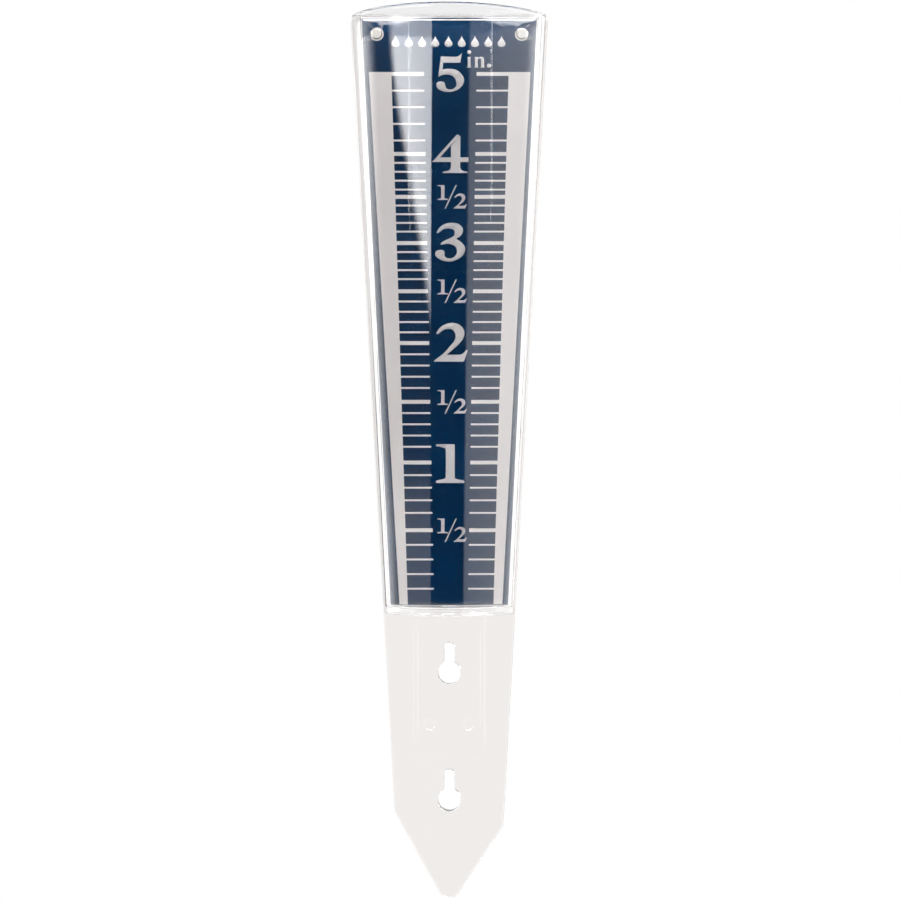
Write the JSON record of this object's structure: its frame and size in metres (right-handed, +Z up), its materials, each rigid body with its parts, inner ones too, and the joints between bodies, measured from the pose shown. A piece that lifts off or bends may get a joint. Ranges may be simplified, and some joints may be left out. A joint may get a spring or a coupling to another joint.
{
  "type": "manual rain gauge",
  "caption": "Clear tapered stake rain gauge with a curved magnifying front, a navy scale card behind it, keyholes for screws and a ground spike",
  "frame": {"origin": "on the flat rear face of the back plate, on its centre line, midway between the two keyholes", "axes": "+Z up along the gauge towards its open rim, +Y out of the rear face towards the post, -Y the magnifying front, +X to the right seen from the front"},
  "size_m": [0.0708, 0.0205, 0.3175],
  "materials": {
    "clear_shell": "clear moulded polystyrene, polished",
    "clear_plate": "clear moulded polystyrene, faintly grained",
    "navy_card": "navy printed sheet, satin, with light grey-white graduations",
    "clear_rivet": "clear push rivet, slightly milky"
  },
  "bodies": {
    "root": {"lens_shell": "clear_shell", "back_plate": "clear_plate", "scale_card": "navy_card", "card_rivet_left": "clear_rivet", "card_rivet_right": "clear_rivet"}
  },
  "joints": []
}
